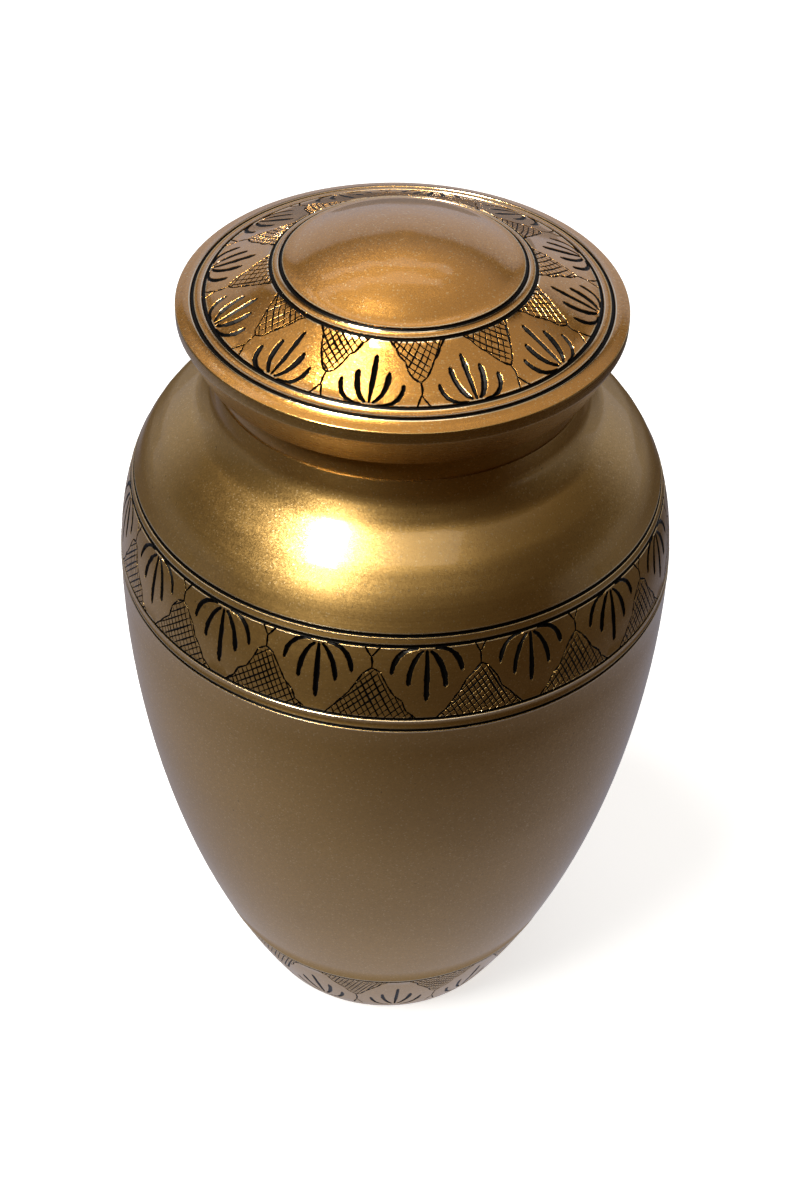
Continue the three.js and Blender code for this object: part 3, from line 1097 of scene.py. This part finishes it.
def plain_material(name, value, roughness):
    """Even matt colour for the studio"""
    material = bpy.data.materials.new(name)
    material.use_nodes = True
    shader = material.node_tree.nodes["Principled BSDF"]
    shader.inputs["Base Color"].default_value = (*value, 1)
    shader.inputs["Roughness"].default_value = roughness
    return material


def toward(turn, rise):
    """Direction at a turn from the front towards the right and a rise over the floor"""
    turn, rise = math.radians(turn), math.radians(rise)
    return Vector((math.sin(turn) * math.cos(rise), -math.cos(turn) * math.cos(rise), math.sin(rise)))


def softbox(name, place, turn, size, glow, tint):
    """A level rectangular soft light of an even glow that shines down"""
    light = bpy.data.lights.new(name, "AREA")
    light.shape = "RECTANGLE"
    light.size, light.size_y = size
    light.energy = glow * math.pi * size[0] * size[1]
    light.color = tint
    lamp = bpy.data.objects.new(name, light)
    bpy.context.scene.collection.objects.link(lamp)
    lamp.location = place
    lamp.rotation_euler.z = math.radians(turn)
    return lamp


FLOOR_SIZE = 12
FLOOR_GLOW = 0.68
AIR_GLOW = (0.9, 0.9, 0.9)
# Each light's place, turn, size, glow and tint
LIGHTS = {
    "key": ((-0.44, -0.42, 1.25), -23, (0.26, 1.0), 30.0, (1.0, 0.99, 0.95)),
    "far_window": ((-0.13, 0.84, 1.25), 0, (0.9, 0.12), 1.0, (1.0, 0.96, 0.88)),
    "near_window": ((-0.2, 0.6, 1.25), 0, (0.9, 0.12), 1.0, (1.0, 0.96, 0.88)),
    "fill": ((0.14, -0.4, 1.2), 0, (0.5, 0.4), 1.5, (1.0, 0.99, 0.96)),
}
# The photograph's view, with its angle as a distance in pixels over the picture's height
VIEW_PLACE = (0, -0.4292, 0.5273)
VIEW_YAW, VIEW_PITCH, VIEW_ROLL = (math.radians(turn) for turn in (-0.26, 41.84, -1.95))
VIEW_SENSOR = 36
FOCAL_PIXELS, PICTURE_PIXELS = 1907, 1200
# What the metal mirrors, as linear light
TABLE_GLOW = (0.34, 0.35, 0.43)
FAR_GLOW = (0.20, 0.19, 0.19)
FOOT_GLOW = (0.52, 0.53, 0.62)
ROOM_GLOW = (0.04, 0.022, 0.007)
CEILING_GLOW = (0.46, 0.42, 0.36)
WALL_GLOW = (0.50, 0.53, 0.62)
SIDE_GLOW = (0.26, 0.27, 0.30)


class URN_OT_studio(bpy.types.Operator):
    """Lays the pale floor and sets the soft lights, the surroundings and the camera"""

    bl_idname = "urn.studio"
    bl_label = "Studio"

    def execute(self, context):
        scene = context.scene
        scene.view_settings.view_transform = "Standard"
        self.floor()
        self.lights()
        self.surroundings(scene)
        self.camera(scene)
        return {"FINISHED"}

    def floor(self):
        """A wide pale floor, and the dimmer one that the metal mirrors"""
        pale = plain_material("pale_floor", (0.9, 0.9, 0.9), 0.8)
        shader = pale.node_tree.nodes["Principled BSDF"]
        shader.inputs["Emission Color"].default_value = (1, 1, 1, 1)
        shader.inputs["Emission Strength"].default_value = FLOOR_GLOW
        shader.inputs["Specular IOR Level"].default_value = 0.0
        for name, height, material, seen in (
            ("pale_floor", 0.0, pale, True),
            ("mirrored_floor", -0.002, self.mirrored(), False),
        ):
            select_none()
            bpy.ops.mesh.primitive_plane_add(size=FLOOR_SIZE, location=(0, 0, height))
            plane = bpy.context.object
            plane.name = name
            plane.data.materials.append(material)
            plane.visible_camera = seen
            plane.visible_glossy = not seen
            plane.visible_diffuse = seen
            plane.visible_shadow = seen

    def mirrored(self):
        """A glowing plane, no lamp, that only the metal mirrors: painted light of a pale table round the urn,
        brightest at the foot, that gives way to a dim warm room
        """
        material = bpy.data.materials.new("mirrored_floor")
        tree = empty_tree(material)
        place = node(tree, "ShaderNodeTexCoord", {}, {}, output=3)
        # Painted light for the metal to mirror: pale round the urn, dim farther out, brightest just round the
        # foot
        off = vector(tree, "MULTIPLY", vector(tree, "SUBTRACT", place, (-0.1, 0.1, 0.0)), (0.8, 1.0, 0.0))
        reach = vector(tree, "LENGTH", off, output=1)
        tone = blend_colour(tree, reach.limit(0.19, 0.4), TABLE_GLOW, ROOM_GLOW)
        near = vector(tree, "LENGTH", place, output=1)
        behind = vector(tree, "DOT_PRODUCT", place, (0.0, 1.0, 0.0), output=1)
        tone = blend_colour(tree, reach.limit(0.5, 1.1) * (behind + 0.5).limit(0.0, 0.4), tone, FAR_GLOW)
        tone = blend_colour(tree, near.limit(0.04, 0.11), FOOT_GLOW, tone)
        glow = node(tree, "ShaderNodeEmission", {}, {"Color": tone})
        node(tree, "ShaderNodeOutputMaterial", {}, [glow])
        return material

    def lights(self):
        """A key light over the left front, a soft fill over the right front and two long lights behind"""
        for name, settings in LIGHTS.items():
            softbox(name, *settings)

    def surroundings(self, scene):
        """Pale air for the eye; for the metal a dim warm room, a bright ceiling and a cool back wall"""
        world = bpy.data.worlds.new("studio_air")
        scene.world = world
        tree = empty_tree(world)
        way = node(tree, "ShaderNodeTexCoord", {}, {}, output=0)
        sideways, back, up = node(tree, "ShaderNodeSeparateXYZ", {}, [way]).outputs()
        ceiling = vector(tree, "DOT_PRODUCT", way, tuple(toward(180, 74)), output=1)
        tone = blend_colour(tree, ceiling.limit(0.68, 0.8), ROOM_GLOW, CEILING_GLOW)
        wall = back.limit(0.25, 0.7) * (1 - up.limit(0.44, 0.5))
        tone = blend_colour(tree, wall, tone, WALL_GLOW)
        edge = (sideways * sideways).limit(0.72, 0.95) * (1 - up.limit(0.1, 0.3))
        tone = blend_colour(tree, edge, tone, SIDE_GLOW)
        path = node(tree, "ShaderNodeLightPath", {}, {}, output=0)
        tone = blend_colour(tree, path, tone, AIR_GLOW)
        air = node(tree, "ShaderNodeBackground", {}, {"Color": tone})
        node(tree, "ShaderNodeOutputWorld", {}, [air])

    def camera(self, scene):
        """The photograph's view: its place, tilt and angle"""
        level = Vector((-math.sin(VIEW_YAW), math.cos(VIEW_YAW), 0))
        right = Vector((math.cos(VIEW_YAW), math.sin(VIEW_YAW), 0))
        forward = level * math.cos(VIEW_PITCH) - Vector((0, 0, math.sin(VIEW_PITCH)))
        down = forward.cross(right)
        side = right * math.cos(VIEW_ROLL) + down * math.sin(VIEW_ROLL)
        below = down * math.cos(VIEW_ROLL) - right * math.sin(VIEW_ROLL)
        data = bpy.data.cameras.new("view")
        data.sensor_fit = "VERTICAL"
        data.sensor_height = VIEW_SENSOR
        data.lens = VIEW_SENSOR * FOCAL_PIXELS / PICTURE_PIXELS
        camera = bpy.data.objects.new("view", data)
        scene.collection.objects.link(camera)
        turn = Matrix((side, -below, -forward)).transposed().to_4x4()
        camera.matrix_world = Matrix.Translation(VIEW_PLACE) @ turn
        scene.camera = camera


class URN_PT_panel(bpy.types.Panel):
    """Sizes, colours and steps of the urn"""

    bl_label = "Engraved urn"
    bl_idname = "URN_PT_panel"
    bl_space_type = "VIEW_3D"
    bl_region_type = "UI"
    bl_category = "Urn"

    def draw(self, context):
        scene = context.scene
        for group in (scene.urn_vessel, scene.urn_lid, scene.urn_engraving, scene.urn_finish):
            box = self.layout.box()
            for name in group.__annotations__:
                box.prop(group, name)
        for operator in STEPS:
            self.layout.operator(operator)


GROUPS = {
    "urn_vessel": VesselSizes,
    "urn_lid": LidSizes,
    "urn_engraving": EngravingSizes,
    "urn_finish": BrassFinish,
}
STEPS = ("urn.studio", "urn.vessel", "urn.lid")
CLASSES = (*GROUPS.values(), URN_OT_vessel, URN_OT_lid, URN_OT_studio, URN_PT_panel)


def register():
    for item in CLASSES:
        bpy.utils.register_class(item)
    for name, group in GROUPS.items():
        setattr(bpy.types.Scene, name, PointerProperty(type=group))


def unregister():
    for name in GROUPS:
        delattr(bpy.types.Scene, name)
    for item in reversed(CLASSES):
        bpy.utils.unregister_class(item)


def main():
    register()
    for step in STEPS:
        family, action = step.split(".")
        getattr(getattr(bpy.ops, family), action)()


if __name__ == "__main__":
    main()
